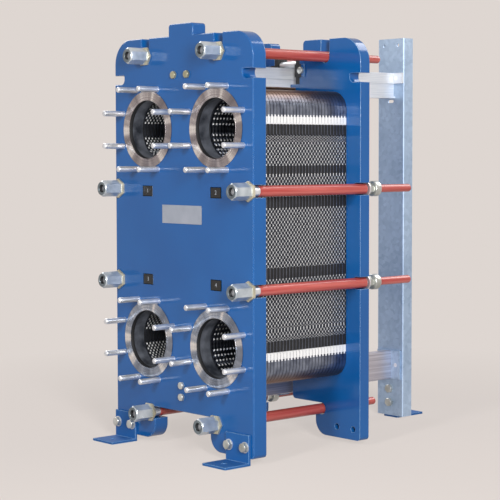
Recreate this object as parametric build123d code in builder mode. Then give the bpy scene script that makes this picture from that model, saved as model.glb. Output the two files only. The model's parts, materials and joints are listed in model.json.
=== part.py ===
from build123d import *
import math
import os

os.makedirs("parts", exist_ok=True)

# Plate heat exchanger, millimetres. +X is to the right when facing the front, the front faces -Y and
# +Z is up. The origin is on the floor, under the middle of the whole machine.
# "Depth" is the distance behind the frame plate's front face.

# ---- frame plate and pressure plate -------------------------------------------------------------
frame_side_margin = 37.25
frame_above_bar = 95.0
plate_foot_height = 22.0
frame_plate_thickness = 56.0
pressure_plate_thickness = 44.0
top_corner_radius = 86.0
bottom_corner_radius = 14.0
lobe_inner_x = 150.0
lobe_radius = 52.0
arch_drop = 105.0
lifting_tab_width = 130.0
lifting_tab_height = 41.0
lifting_tab_radius = 12.0
edge_break = 2.5
notch_drop = 139.5
notch_opening = 31.0
notch_depth = 53.0
notch_upper_radius = 6.0
notch_lower_radius = 18.0

# ---- ports --------------------------------------------------------------------------------------
port_bore = 200.0
port_spacing_x = 367.0
port_spacing_z = 735.0
lower_port_height = 372.0
lining_wall = 5.0
lining_flange_diameter = 270.0
lining_flange_thickness = 3.0
lining_gap = 0.5
stud_diameter = 20.0
stud_tapped_diameter = 18.4
stud_circle = 298.5
studs_per_port = 8
stud_reach = 88.0
stud_embed = 36.0
thread_gap = 0.1
cut_margin = 1.0

# ---- plate pack ---------------------------------------------------------------------------------
plate_count = 60
plate_pitch = 7.42
plate_sheet = 0.8
plate_side_inset = 68.0
plate_margin_z = 131.0
plate_corner_radius = 65.0
hanger_lug_width = 90.0
hanger_lug_height = 20.0
gasket_inset = 9.0
gasket_width = 8.0
port_gasket_inset = 4.0
plate_port_gap = 1.0
plate_group_count = 4

# ---- carrying bar, guide bar and support column -------------------------------------------------
opening_length = 500.0
bar_hook_depth = 6.0
bar_height = 96.0
bar_width = 44.0
bar_head_height = 40.0
bar_web = 30.0
bar_flange = 7.0
bar_side_gap = 3.0
bar_lug_width = 44.0
bar_lug_thickness = 10.0
bar_lug_height = 50.0
bar_bolt_x = 35.0
bar_bolt_rise = 3.0
guide_width = 30.0
guide_height = 110.0
guide_drop = 89.0
guide_side_gap = 2.0
guide_slot_width = 60.0
guide_plate_width = 114.0
guide_plate_thickness = 10.0
guide_bolt_spacing = 40.0
column_width = 134.0
column_depth = 50.0
column_wall = 6.0
column_rise = 36.0
column_clearance = 8.0
column_eye_spacing = 72.0
column_eye_drop = 25.0
column_eye_diameter = 13.0
column_slot_length = 30.0
column_slot_width = 12.0
column_slot_drop = 11.0

# ---- tightening bolts ---------------------------------------------------------------------------
rod_diameter = 24.0
bolt_slot_width = 42.0
top_bolt_x = 196.0
top_bolt_drop = 62.0
side_bolt_inset = 20.0
side_bolt_heights = (900.0, 574.0)
bottom_bolt_x = 178.0
front_nut_across = 50.0
front_nut_length = 71.0
front_nut_recess = 12.0
front_nut_recess_diameter = 28.0
front_nut_chamfer = 3.0
front_flange_across = 60.0
front_flange_thickness = 8.0
bush_diameter = 38.0
bush_tip_diameter = 32.0
bush_length = 36.0
sleeve_diameter = 37.0
sleeve_wall = 5.0
sleeve_end_gap = 4.0
rear_washer_diameter = 50.0
rear_washer_thickness = 4.0
rear_nut_across = 36.0
rear_nut_length = 26.0
collar_diameter = 54.0
collar_length = 28.0
cap_diameter = 28.0
cap_wall = 1.5
cap_length = 167.0
cap_dome = 8.0
rod_end_gap = 8.0
running_gap = 0.05
loose_gap = 0.8

# ---- hanger of the pressure plate ---------------------------------------------------------------
roller_diameter = 25.0
roller_length = 84.0
roller_side_gap = 4.0
roller_bar_gap = 0.3
roller_pin_diameter = 12.0
cheek_width = 20.0
cheek_bottom_gap = 6.0
cheek_height = 95.0
cheek_flange_width = 28.0
cheek_flange_height = 46.0
cheek_flange_thickness = 6.0
top_slot_width = 168.0
slot_corner_radius = 14.0

# ---- feet, small fasteners and plates -----------------------------------------------------------
foot_reach = 110.0
foot_width = 115.0
foot_height = 101.0
foot_thickness = 8.0
foot_edge_insets = (0.0, 16.0)
foot_bolt_height = 60.0
foot_bolt_spacing = 80.0
foot_hole_diameter = 18.0
foot_hole_inset = 45.0
rear_foot_width = 70.0
rear_foot_height = 140.0
rear_foot_reach = 100.0
rear_foot_bolt_heights = (112.0, 59.0)
large_bolt = 20.0
large_bolt_head = (30.0, 13.0)
large_bolt_length = 45.0
small_bolt = 16.0
small_bolt_head = (24.0, 10.0)
small_bolt_length = 45.0
hanger_bolt_length = 25.0
hanger_hole_depth = 30.0
hanger_bolt_rise = 12.0
washer_thickness = 3.0
large_washer_diameter = 37.0
bolt_gap = 1.0
name_plate_size = (211.0, 63.0, 1.6)
name_plate_centre = (4.5, 815.5)
name_plate_radius = 8.0
label_size = (54.0, 37.0, 1.2)
label_offsets = (-214.0, 212.0)

# ---- places that follow from the sizes ----------------------------------------------------------
frame_width = port_spacing_x + stud_circle + 2 * frame_side_margin
plate_width = frame_width - 2 * plate_side_inset
foot_outer_x = [frame_width / 2 - inset for inset in foot_edge_insets]
pack_length = (plate_count - 1) * plate_pitch + plate_sheet
pack_depth = frame_plate_thickness
pressure_depth = pack_depth + pack_length
pressure_back = pressure_depth + pressure_plate_thickness
column_front = pressure_back + opening_length
column_back = column_front + column_depth
machine_depth = foot_reach + column_back + rear_foot_reach
front_face_y = foot_reach - machine_depth / 2

upper_port_height = lower_port_height + port_spacing_z
middle_height = lower_port_height + port_spacing_z / 2
plate_top = upper_port_height + plate_margin_z
plate_bottom = lower_port_height - plate_margin_z
bar_bottom = plate_top - bar_hook_depth
bar_top = bar_bottom + bar_height
bar_flange_top = bar_bottom + bar_flange
bar_head_bottom = bar_top - bar_head_height
bar_bolt_height = bar_head_bottom + bar_bolt_rise
frame_top = bar_top + frame_above_bar
notch_height = frame_top - notch_drop
top_bolt_height = frame_top - top_bolt_drop
column_top = frame_top + column_rise
guide_bottom = plate_bottom - guide_drop
arch_height = plate_bottom - arch_drop
guide_top = guide_bottom + guide_height
port_centres = [
    (x * port_spacing_x / 2, z)
    for z in (lower_port_height, upper_port_height)
    for x in (-1, 1)
]
side_bolt_x = frame_width / 2 - side_bolt_inset
bottom_bolt_height = arch_height - bolt_slot_width / 2
bolt_centres = [
    (side * x, z)
    for side in (-1, 1)
    for x, z in (
        (top_bolt_x, top_bolt_height),
        (side_bolt_x, side_bolt_heights[0]),
        (side_bolt_x, side_bolt_heights[1]),
        (bottom_bolt_x, bottom_bolt_height),
    )
]
nut_front = front_flange_thickness + front_nut_length
rear_nut_depth = pressure_back + rear_washer_thickness
collar_depth = rear_nut_depth + rear_nut_length
cap_depth = collar_depth + collar_length
rod_front = front_nut_recess - nut_front
rod_back = cap_depth + cap_length - cap_dome - rod_end_gap
guide_bolt_heights = [
    (guide_bottom + guide_top) / 2 + side * guide_bolt_spacing / 2 for side in (1, -1)
]


def facing(depth):
    # upright plane at a depth behind the front face, with sketch X to the right and sketch Y up
    return Plane.XZ.offset(-(front_face_y + depth))


def save(builder, name):
    builder.part.label = name
    export_step(builder.part, f"parts/{name}.step")


def discs(centres, diameter, depth, length):
    # one round bar for each centre, from a depth towards the back
    with BuildPart() as bars:
        with BuildSketch(facing(depth)):
            with Locations(*centres):
                Circle(diameter / 2)
        extrude(amount=-length)
    return bars.part


def drill(centres, diameter, depth, length):
    # the same round bars, taken out of the part being built
    add(discs(centres, diameter, depth, length), mode=Mode.SUBTRACT)


def hexagons(centres, across, depth, length, turn=30):
    # one hexagonal bar for each centre; turn 30 stands it on a corner
    with BuildPart() as bars:
        with BuildSketch(facing(depth)):
            with Locations(*centres):
                RegularPolygon(across / 2, 6, major_radius=False, rotation=turn)
        extrude(amount=-length)
    return bars.part


# ---- outline that both heavy plates share -------------------------------------------------------
with BuildSketch() as heavy_outline:
    with Locations((0, (frame_top + plate_foot_height) / 2)):
        Rectangle(frame_width, frame_top - plate_foot_height)
    fillet(heavy_outline.vertices().group_by(Axis.Y)[-1], top_corner_radius)
    fillet(heavy_outline.vertices().group_by(Axis.Y)[0], bottom_corner_radius)
    with Locations((0, plate_foot_height)):
        Rectangle(2 * lobe_inner_x, 2 * (arch_height - plate_foot_height), mode=Mode.SUBTRACT)
    lobe_corners = heavy_outline.vertices().group_by(Axis.Y)[0].sort_by(SortBy.DISTANCE)[:2]
    fillet(lobe_corners, lobe_radius)
    # open slots for the tightening bolts
    for side in (-1, 1):
        with Locations((side * top_bolt_x, top_bolt_height)):
            Circle(bolt_slot_width / 2, mode=Mode.SUBTRACT)
            Rectangle(
                bolt_slot_width,
                frame_top - top_bolt_height,
                align=(Align.CENTER, Align.MIN),
                mode=Mode.SUBTRACT,
            )
        for height in side_bolt_heights:
            with Locations((side * side_bolt_x, height)):
                Circle(bolt_slot_width / 2, mode=Mode.SUBTRACT)
            with Locations((side * (side_bolt_x + side_bolt_inset / 2), height)):
                Rectangle(side_bolt_inset, bolt_slot_width, mode=Mode.SUBTRACT)
        with Locations((side * bottom_bolt_x, bottom_bolt_height)):
            Circle(bolt_slot_width / 2, mode=Mode.SUBTRACT)
        with Locations((side * (bottom_bolt_x + lobe_inner_x) / 2, bottom_bolt_height)):
            Rectangle(bottom_bolt_x - lobe_inner_x + cut_margin, bolt_slot_width, mode=Mode.SUBTRACT)

# hook notch cut into each side near the top
with BuildSketch() as side_notch:
    with Locations((frame_width / 2, notch_height)):
        Rectangle(2 * notch_depth, notch_opening)
    inner = side_notch.vertices().group_by(Axis.X)[0].sort_by(Axis.Y)
    fillet(inner[1], notch_upper_radius)
    fillet(side_notch.vertices().group_by(Axis.X)[0].sort_by(Axis.Y)[0], notch_lower_radius)

bar_bolt_centres = [(-bar_bolt_x, bar_bolt_height), (bar_bolt_x, bar_bolt_height)]
guide_bolt_centres = [(0, height) for height in guide_bolt_heights]
foot_centres_x = [foot_width / 2 - foot_outer_x[0], foot_outer_x[1] - foot_width / 2]
foot_bolt_centres = [
    (x + side * foot_bolt_spacing / 2, foot_bolt_height)
    for x in foot_centres_x
    for side in (-1, 1)
]
stud_centres = {
    port: [
        (
            port[0] + stud_circle / 2 * math.cos(math.radians(22.5 + k * 360 / studs_per_port)),
            port[1] + stud_circle / 2 * math.sin(math.radians(22.5 + k * 360 / studs_per_port)),
        )
        for k in range(studs_per_port)
    ]
    for port in port_centres
}

# ---- frame plate --------------------------------------------------------------------------------
with BuildPart() as frame_plate:
    with BuildSketch(facing(0)):
        add(heavy_outline.sketch)
        with Locations((0, frame_top)):
            Rectangle(
                lifting_tab_width,
                lifting_tab_height,
                align=(Align.CENTER, Align.MIN),
            )
        add(side_notch.sketch, mode=Mode.SUBTRACT)
        add(side_notch.sketch.mirror(Plane.YZ), mode=Mode.SUBTRACT)
        with Locations(*port_centres):
            Circle(port_bore / 2 + lining_wall + lining_gap, mode=Mode.SUBTRACT)
    extrude(amount=-frame_plate_thickness)
    tab_edges = frame_plate.edges().filter_by(Axis.Y).group_by(Axis.Z)[-1]
    fillet(tab_edges, lifting_tab_radius)
    for studs in stud_centres.values():
        drill(studs, stud_tapped_diameter + 2 * thread_gap, 0, stud_embed)
    drill(bar_bolt_centres + guide_bolt_centres, small_bolt + bolt_gap, 0, frame_plate_thickness)
    drill(foot_bolt_centres, large_bolt + 2 * thread_gap, 0, frame_plate_thickness)
    chamfer(frame_plate.faces().sort_by(Axis.Y)[0].outer_wire().edges(), edge_break)
save(frame_plate, "frame_plate")

# ---- pressure plate -----------------------------------------------------------------------------
roller_axis_height = bar_top + roller_bar_gap + roller_diameter / 2
cheek_inner_x = roller_length / 2 + roller_side_gap
cheek_outer_x = cheek_inner_x + cheek_width
slot_floor = bar_head_bottom - bar_side_gap * cheek_bottom_gap
cheek_top = slot_floor + cheek_height
hanger_bolt_centres = [
    (side * (cheek_outer_x + cheek_flange_width / 2), (roller_axis_height + slot_floor) / 2 + hanger_bolt_rise)
    for side in (-1, 1)
]
with BuildPart() as pressure_plate:
    with BuildSketch(facing(pressure_depth)):
        add(heavy_outline.sketch)
        add(side_notch.sketch, mode=Mode.SUBTRACT)
        add(side_notch.sketch.mirror(Plane.YZ), mode=Mode.SUBTRACT)
        # wide slot that holds the hanger, opening further above it
        with Locations((0, slot_floor)):
            Rectangle(
                2 * cheek_outer_x,
                frame_top - slot_floor,
                align=(Align.CENTER, Align.MIN),
                mode=Mode.SUBTRACT,
            )
        with Locations((0, cheek_top)):
            Rectangle(
                top_slot_width,
                frame_top - cheek_top,
                align=(Align.CENTER, Align.MIN),
                mode=Mode.SUBTRACT,
            )
        # narrow opening for the carrying bar's web and lower flange
        with Locations((0, bar_bottom - bar_side_gap)):
            Rectangle(
                bar_web + 2 * bar_side_gap,
                slot_floor - bar_bottom + bar_side_gap,
                align=(Align.CENTER, Align.MIN),
                mode=Mode.SUBTRACT,
            )
            Rectangle(
                bar_width + 2 * bar_side_gap,
                bar_flange + 2 * bar_side_gap,
                align=(Align.CENTER, Align.MIN),
                mode=Mode.SUBTRACT,
            )
        with Locations((0, arch_height)):
            Rectangle(
                guide_slot_width,
                guide_top + bar_side_gap - arch_height,
                align=(Align.CENTER, Align.MIN),
                mode=Mode.SUBTRACT,
            )
        # the slot's corners at the top edge and at the arch are rounded
        mouths = ((frame_top, top_slot_width), (arch_height, guide_slot_width))
        for height, width in mouths:
            across = width / 2 + cut_margin
            level = vertices().filter_by_position(Axis.Y, height - cut_margin, height + cut_margin)
            fillet(level.filter_by_position(Axis.X, -across, across), slot_corner_radius)
    extrude(amount=-pressure_plate_thickness)
    drill(hanger_bolt_centres, small_bolt + 2 * thread_gap, pressure_depth, hanger_hole_depth)
    drill(foot_bolt_centres, large_bolt + bolt_gap, pressure_depth, pressure_plate_thickness)
save(pressure_plate, "pressure_plate")

# ---- port linings and studs ---------------------------------------------------------------------
port_names = ("port_1", "port_2", "port_3", "port_4")
lining_outer = port_bore + 2 * lining_wall
for name, port in zip(port_names, port_centres):
    with BuildPart() as lining:
        with BuildSketch(facing(0)):
            with Locations(port):
                Circle(lining_outer / 2)
        extrude(amount=-frame_plate_thickness)
        with BuildSketch(facing(0)):
            with Locations(port):
                Circle(lining_flange_diameter / 2)
        extrude(amount=lining_flange_thickness)
        drill([port], port_bore, -lining_flange_thickness, frame_plate_thickness + lining_flange_thickness)
    save(lining, f"{name}_lining")
    with BuildPart() as studs:
        add(discs(stud_centres[port], stud_diameter, -stud_reach, stud_reach))
        add(discs(stud_centres[port], stud_tapped_diameter, -1, stud_embed + 1))
    save(studs, f"{name}_studs")

# ---- heat transfer plates -----------------------------------------------------------------------
plate_height = plate_top - plate_bottom
hang_slot = bar_flange + bar_side_gap
with BuildSketch() as plate_blank:
    with Locations((0, middle_height)):
        RectangleRounded(plate_width, plate_height, plate_corner_radius)
    # notch that runs along the guide bar
    with Locations((0, plate_bottom)):
        Rectangle(
            guide_width + 2 * guide_side_gap,
            2 * (guide_top + guide_side_gap - plate_bottom),
            mode=Mode.SUBTRACT,
        )

with BuildSketch() as plate_outline:
    add(plate_blank.sketch)
    # hanger lug hooked over the carrying bar's lower flange
    with Locations((0, plate_top)):
        Rectangle(hanger_lug_width, hanger_lug_height, align=(Align.CENTER, Align.MIN))
    with Locations((0, bar_bottom - bar_side_gap)):
        Rectangle(
            bar_width + 2 * bar_side_gap,
            hang_slot,
            align=(Align.CENTER, Align.MIN),
            mode=Mode.SUBTRACT,
        )
        Rectangle(
            bar_web + 2 * bar_side_gap,
            plate_top + hanger_lug_height - bar_bottom + bar_side_gap,
            align=(Align.CENTER, Align.MIN),
            mode=Mode.SUBTRACT,
        )

with BuildSketch() as ported_outline:
    add(plate_outline.sketch)
    with Locations(*port_centres):
        Circle(port_bore / 2 + plate_port_gap, mode=Mode.SUBTRACT)

with BuildSketch() as gasket_edge:
    add(plate_blank.sketch)
    with Locations((0, plate_top)):
        Rectangle(
            bar_width + 2 * bar_side_gap,
            2 * (plate_top - bar_bottom + bar_side_gap),
            mode=Mode.SUBTRACT,
        )

# one rubber gasket runs round the plate and closes off the two ports of one side
gasket_outlines = []
for side in (-1, 1):
    closed_ports = [port for port in port_centres if port[0] * side > 0]
    open_ports = [port for port in port_centres if port[0] * side < 0]
    with BuildSketch() as gasket_outline:
        add(gasket_edge.sketch)
        offset(amount=-gasket_inset, kind=Kind.INTERSECTION, mode=Mode.REPLACE)
        with BuildSketch(mode=Mode.SUBTRACT):
            add(gasket_edge.sketch)
            offset(amount=-gasket_inset - gasket_width, kind=Kind.INTERSECTION, mode=Mode.REPLACE)
        with Locations(*closed_ports):
            Circle(port_bore / 2 + port_gasket_inset + gasket_width)
        with Locations(*closed_ports):
            Circle(port_bore / 2 + port_gasket_inset, mode=Mode.SUBTRACT)
        with Locations(*open_ports):
            Circle(port_bore / 2 + plate_port_gap, mode=Mode.SUBTRACT)
        with BuildSketch(mode=Mode.INTERSECT):
            add(gasket_edge.sketch)
            offset(amount=-gasket_inset, kind=Kind.INTERSECTION, mode=Mode.REPLACE)
    gasket_outlines.append(gasket_outline.sketch)


def plate_depth(index):
    return pack_depth + index * plate_pitch


def make_plates(name, outline, indices):
    with BuildPart() as plates:
        with BuildSketch(*[facing(plate_depth(index)) for index in indices]):
            add(outline)
        extrude(amount=-plate_sheet)
    save(plates, name)


def make_gaskets(name, indices):
    with BuildPart() as gaskets:
        for parity in (0, 1):
            own = [index for index in indices if index % 2 == parity]
            if own:
                fronts = [plate_depth(index - 1) + plate_sheet for index in own]
                with BuildSketch(*[facing(front) for front in fronts]):
                    add(gasket_outlines[parity])
                extrude(amount=plate_sheet - plate_pitch)
    save(gaskets, name)


make_plates("front_end_plate", ported_outline.sketch, [0])
make_plates("rear_end_plate", plate_outline.sketch, [plate_count - 1])
make_gaskets("rear_end_gasket", [plate_count - 1])
channel_count = plate_count - 2
for group in range(plate_group_count):
    first = 1 + group * channel_count // plate_group_count
    last = 1 + (group + 1) * channel_count // plate_group_count
    make_plates(f"channel_plates_{group + 1}", ported_outline.sketch, range(first, last))
    make_gaskets(f"plate_gaskets_{group + 1}", range(first, last))

# ---- carrying bar -------------------------------------------------------------------------------
bar_length = column_front - frame_plate_thickness
with BuildPart() as carrying_bar:
    with BuildSketch(facing(frame_plate_thickness)):
        with Locations((0, bar_head_bottom)):
            Rectangle(bar_width, bar_head_height, align=(Align.CENTER, Align.MIN))
        with Locations((0, bar_bottom)):
            Rectangle(bar_web, bar_height - 1, align=(Align.CENTER, Align.MIN))
            Rectangle(bar_width, bar_flange, align=(Align.CENTER, Align.MIN))
    extrude(amount=-bar_length)
save(carrying_bar, "carrying_bar")

# the bar is bolted to the frame plate and to the column through a lug on each side
bar_end_lugs = (
    ("bar_lugs_front", frame_plate_thickness, bar_bolt_height - bar_lug_height / 2, bar_lug_height),
    ("bar_lugs_rear", column_front - bar_lug_thickness, bar_head_bottom, bar_head_height),
)
for name, depth, bottom, height in bar_end_lugs:
    bolt_height = bar_bolt_height if name == "bar_lugs_front" else bottom + height / 2
    with BuildPart() as lugs:
        with BuildSketch(facing(depth)):
            for side in (-1, 1):
                with Locations((side * (bar_width + bar_lug_width) / 2, bottom + height / 2)):
                    Rectangle(bar_lug_width, height)
            with Locations((-bar_bolt_x, bolt_height), (bar_bolt_x, bolt_height)):
                Circle(small_bolt / 2 + thread_gap, mode=Mode.SUBTRACT)
        extrude(amount=-bar_lug_thickness)
    save(lugs, name)

# ---- guide bar ----------------------------------------------------------------------------------
guide_length = column_front - guide_plate_thickness - frame_plate_thickness
guide_thread = small_bolt_length - frame_plate_thickness
with BuildPart() as guide_bar:
    with BuildSketch(facing(frame_plate_thickness)):
        with Locations((0, guide_bottom + guide_height / 2)):
            Rectangle(guide_width, guide_height)
    extrude(amount=-guide_length)
    fillet(guide_bar.edges().filter_by(Axis.Y), edge_break)
    drill(guide_bolt_centres, small_bolt + 2 * thread_gap, frame_plate_thickness, 2 * small_bolt)
save(guide_bar, "guide_bar")

guide_plate_bolts = [
    (side * guide_plate_width / 3, guide_bottom + guide_height / 2) for side in (-1, 1)
]
with BuildPart() as guide_bar_plate:
    with BuildSketch(facing(column_front - guide_plate_thickness)):
        with Locations((0, guide_bottom + guide_height / 2)):
            Rectangle(guide_plate_width, guide_height)
        with Locations(*guide_plate_bolts):
            Circle(small_bolt / 2 + thread_gap, mode=Mode.SUBTRACT)
    extrude(amount=-guide_plate_thickness)
save(guide_bar_plate, "guide_bar_plate")

# ---- support column and its foot ----------------------------------------------------------------
rear_lug_bolts = [
    (side * bar_bolt_x, bar_head_bottom + bar_head_height / 2) for side in (-1, 1)
]
rear_foot_bolts = [(0, height) for height in rear_foot_bolt_heights]
with BuildPart() as support_column:
    with BuildSketch(Plane.XY.offset(column_clearance)):
        with Locations((0, front_face_y + column_front)):
            Rectangle(column_width, column_depth, align=(Align.CENTER, Align.MIN))
        with Locations((0, front_face_y + column_front + column_wall)):
            Rectangle(
                column_width - 2 * column_wall,
                column_depth,
                align=(Align.CENTER, Align.MIN),
                mode=Mode.SUBTRACT,
            )
    extrude(amount=column_top - column_clearance)
    corners = support_column.edges().filter_by(Axis.Z).group_by(Axis.Y)[0]
    fillet(corners, column_wall)
    eyes = [(side * column_eye_spacing / 2, column_top - column_eye_drop) for side in (-1, 1)]
    drill(eyes, column_eye_diameter, column_front, column_wall)
    drill(rear_lug_bolts + guide_plate_bolts, small_bolt + bolt_gap, column_front, column_wall)
    drill(rear_foot_bolts, large_bolt + bolt_gap, column_front, column_wall)
    with BuildSketch(facing(column_front)):
        with Locations((0, bar_bottom - column_slot_drop)):
            SlotOverall(column_slot_length, column_slot_width)
    extrude(amount=-column_wall, mode=Mode.SUBTRACT)
save(support_column, "support_column")

rear_foot_front = column_front + column_wall
with BuildPart() as rear_foot:
    with BuildSketch(facing(rear_foot_front)):
        with Locations((0, 0)):
            Rectangle(rear_foot_width, rear_foot_height, align=(Align.CENTER, Align.MIN))
    extrude(amount=-foot_thickness)
    with BuildSketch(facing(rear_foot_front)):
        with Locations((0, 0)):
            Rectangle(rear_foot_width, foot_thickness, align=(Align.CENTER, Align.MIN))
    extrude(amount=rear_foot_front - column_back - rear_foot_reach)
    drill(rear_foot_bolts, large_bolt + 2 * thread_gap, rear_foot_front, foot_thickness)
    rear_hole_depth = column_back + rear_foot_reach - foot_hole_inset
    with Locations((0, front_face_y + rear_hole_depth, foot_thickness)):
        Hole(foot_hole_diameter / 2)
save(rear_foot, "rear_foot")

# ---- front feet ---------------------------------------------------------------------------------
for name, x in zip(("front_foot_left", "front_foot_right"), foot_centres_x):
    with BuildPart() as foot:
        with BuildSketch(facing(-foot_thickness)):
            with Locations((x, 0)):
                Rectangle(foot_width, foot_height, align=(Align.CENTER, Align.MIN))
        extrude(amount=-foot_thickness)
        with BuildSketch(facing(-foot_reach)):
            with Locations((x, 0)):
                Rectangle(foot_width, foot_thickness, align=(Align.CENTER, Align.MIN))
        extrude(amount=-foot_reach)
        own_bolts = [centre for centre in foot_bolt_centres if abs(centre[0] - x) < foot_width / 2]
        drill(own_bolts, large_bolt + bolt_gap, -foot_thickness, foot_thickness)
        with Locations((x, front_face_y - foot_reach + foot_hole_inset, foot_thickness)):
            Hole(foot_hole_diameter / 2)
    save(foot, name)

# ---- small fasteners ----------------------------------------------------------------------------
def hex_bolts(name, centres, size, head, seat, length, washer=0.0, towards_back=True):
    # bolts whose head, and washer if any, sit in front of the seat and whose shank runs behind it
    across, height = head
    sign = 1 if towards_back else -1
    head_depth = seat - washer - height if towards_back else seat + washer
    shank_depth = seat - washer if towards_back else seat + washer - length
    with BuildPart() as bolts:
        add(hexagons(centres, across, head_depth, height, turn=10 * sign))
        add(discs(centres, size, shank_depth, length))
    save(bolts, name)


hex_bolts(
    "foot_bolts",
    foot_bolt_centres,
    large_bolt,
    large_bolt_head,
    -foot_thickness,
    large_bolt_length,
    washer_thickness,
)
with BuildPart() as foot_washers:
    add(discs(foot_bolt_centres, large_washer_diameter, -foot_thickness - washer_thickness, washer_thickness))
    drill(
        foot_bolt_centres,
        large_bolt + 2 * thread_gap,
        -foot_thickness - washer_thickness,
        washer_thickness,
    )
save(foot_washers, "foot_washers")
hex_bolts(
    "bar_bolts",
    bar_bolt_centres,
    small_bolt,
    small_bolt_head,
    0,
    frame_plate_thickness + bar_lug_thickness,
)
hex_bolts(
    "guide_bolts",
    guide_bolt_centres,
    small_bolt,
    small_bolt_head,
    0,
    frame_plate_thickness + 2 * small_bolt,
)
hex_bolts(
    "column_bolts",
    rear_lug_bolts + guide_plate_bolts,
    small_bolt,
    small_bolt_head,
    column_front + column_wall,
    column_wall + bar_lug_thickness,
    towards_back=False,
)
hex_bolts(
    "rear_foot_bolts",
    rear_foot_bolts,
    large_bolt,
    large_bolt_head,
    column_front,
    column_wall + foot_thickness,
)
hex_bolts(
    "hanger_bolts",
    hanger_bolt_centres,
    small_bolt,
    small_bolt_head,
    pressure_depth - cheek_flange_thickness,
    hanger_bolt_length,
)

# ---- name plate and port labels -----------------------------------------------------------------
with BuildPart() as name_plate:
    with BuildSketch(facing(0)):
        with Locations(name_plate_centre):
            RectangleRounded(name_plate_size[0], name_plate_size[1], name_plate_radius)
    extrude(amount=name_plate_size[2])
save(name_plate, "name_plate")

label_centres = [(port[0], port[1] + label_offsets[port[1] < middle_height]) for port in port_centres]
with BuildPart() as port_labels:
    with BuildSketch(facing(0)):
        with Locations(*label_centres):
            Rectangle(label_size[0], label_size[1])
    extrude(amount=label_size[2])
save(port_labels, "port_labels")

# ---- tightening bolts at the frame plate --------------------------------------------------------
rod_bore = rod_diameter + 2 * running_gap
with BuildPart() as tightening_rods:
    add(discs(bolt_centres, rod_diameter, rod_front, rod_back - rod_front))
save(tightening_rods, "tightening_rods")

with BuildPart() as front_nuts:
    add(hexagons(bolt_centres, front_nut_across, -nut_front, front_nut_length))
    tips = front_nuts.faces().group_by(Axis.Y)[0]
    chamfer(tips.edges(), front_nut_chamfer)
    drill(bolt_centres, rod_bore, -nut_front, front_nut_length)
    drill(bolt_centres, front_nut_recess_diameter, -nut_front, front_nut_recess)
save(front_nuts, "front_nuts")

side_bolts = [centre for centre in bolt_centres if abs(centre[0]) == side_bolt_x]
end_bolts = [centre for centre in bolt_centres if abs(centre[0]) != side_bolt_x]
with BuildPart() as front_flanges:
    add(hexagons(side_bolts, front_flange_across, -front_flange_thickness, front_flange_thickness))
    add(
        hexagons(
            end_bolts,
            front_flange_across,
            -front_flange_thickness,
            front_flange_thickness,
            turn=0,
        )
    )
    drill(bolt_centres, rod_bore, -front_flange_thickness, front_flange_thickness)
save(front_flanges, "front_flanges")

with BuildPart() as bearing_bushes:
    with BuildSketch(facing(0)):
        with Locations(*bolt_centres):
            Circle(bush_diameter / 2)
    extrude(amount=-bush_length / 2)
    with BuildSketch(facing(bush_length / 2)):
        with Locations(*bolt_centres):
            Circle(bush_diameter / 2)
    bush_taper = math.degrees(math.atan((bush_diameter - bush_tip_diameter) / bush_length))
    extrude(amount=-bush_length / 2, taper=bush_taper)
    drill(bolt_centres, rod_bore, 0, bush_length)
save(bearing_bushes, "bearing_bushes")

sleeve_length = pressure_back - sleeve_end_gap - bush_length
with BuildPart() as thread_sleeves:
    add(discs(bolt_centres, sleeve_diameter, bush_length, sleeve_length))
    drill(bolt_centres, sleeve_diameter - 2 * sleeve_wall, bush_length, sleeve_length)
save(thread_sleeves, "thread_sleeves")

# ---- tightening bolts behind the pressure plate -------------------------------------------------
with BuildPart() as rear_washers:
    add(discs(bolt_centres, rear_washer_diameter, pressure_back, rear_washer_thickness))
    drill(bolt_centres, rod_diameter + 2 * loose_gap, pressure_back, rear_washer_thickness)
save(rear_washers, "rear_washers")

for number, centre in enumerate(bolt_centres, start=1):
    with BuildPart() as rear_nut:
        add(hexagons([centre], rear_nut_across, rear_nut_depth, rear_nut_length))
        drill([centre], rod_bore, rear_nut_depth, rear_nut_length)
    save(rear_nut, f"rear_nut_{number}")

with BuildPart() as cap_collars:
    add(discs(bolt_centres, collar_diameter, collar_depth, collar_length))
    rims = cap_collars.edges().filter_by(GeomType.CIRCLE).group_by(Axis.Y)
    chamfer(rims[0] + rims[-1], edge_break)
    drill(bolt_centres, rod_diameter + 2 * loose_gap, collar_depth, collar_length)
save(cap_collars, "cap_collars")

with BuildPart() as thread_caps:
    add(discs(bolt_centres, cap_diameter, cap_depth, cap_length))
    fillet(thread_caps.edges().filter_by(GeomType.CIRCLE).group_by(Axis.Y)[-1], cap_dome)
    drill(bolt_centres, cap_diameter - 2 * cap_wall, cap_depth, cap_length - cap_dome)
save(thread_caps, "thread_caps")

# ---- hanger: a roller on the carrying bar between two cheeks ------------------------------------
roller_depth = pressure_depth + pressure_plate_thickness / 3
with BuildPart() as hanger_roller:
    with BuildSketch(Plane.YZ.offset(-roller_length / 2)):
        with Locations((front_face_y + roller_depth, roller_axis_height)):
            Circle(roller_diameter / 2)
            Circle(roller_pin_diameter / 2 + running_gap, mode=Mode.SUBTRACT)
    extrude(amount=roller_length)
save(hanger_roller, "hanger_roller")

with BuildPart() as hanger_pin:
    with BuildSketch(Plane.YZ.offset(-cheek_outer_x)):
        with Locations((front_face_y + roller_depth, roller_axis_height)):
            Circle(roller_pin_diameter / 2)
    extrude(amount=2 * cheek_outer_x)
save(hanger_pin, "hanger_pin")

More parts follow.
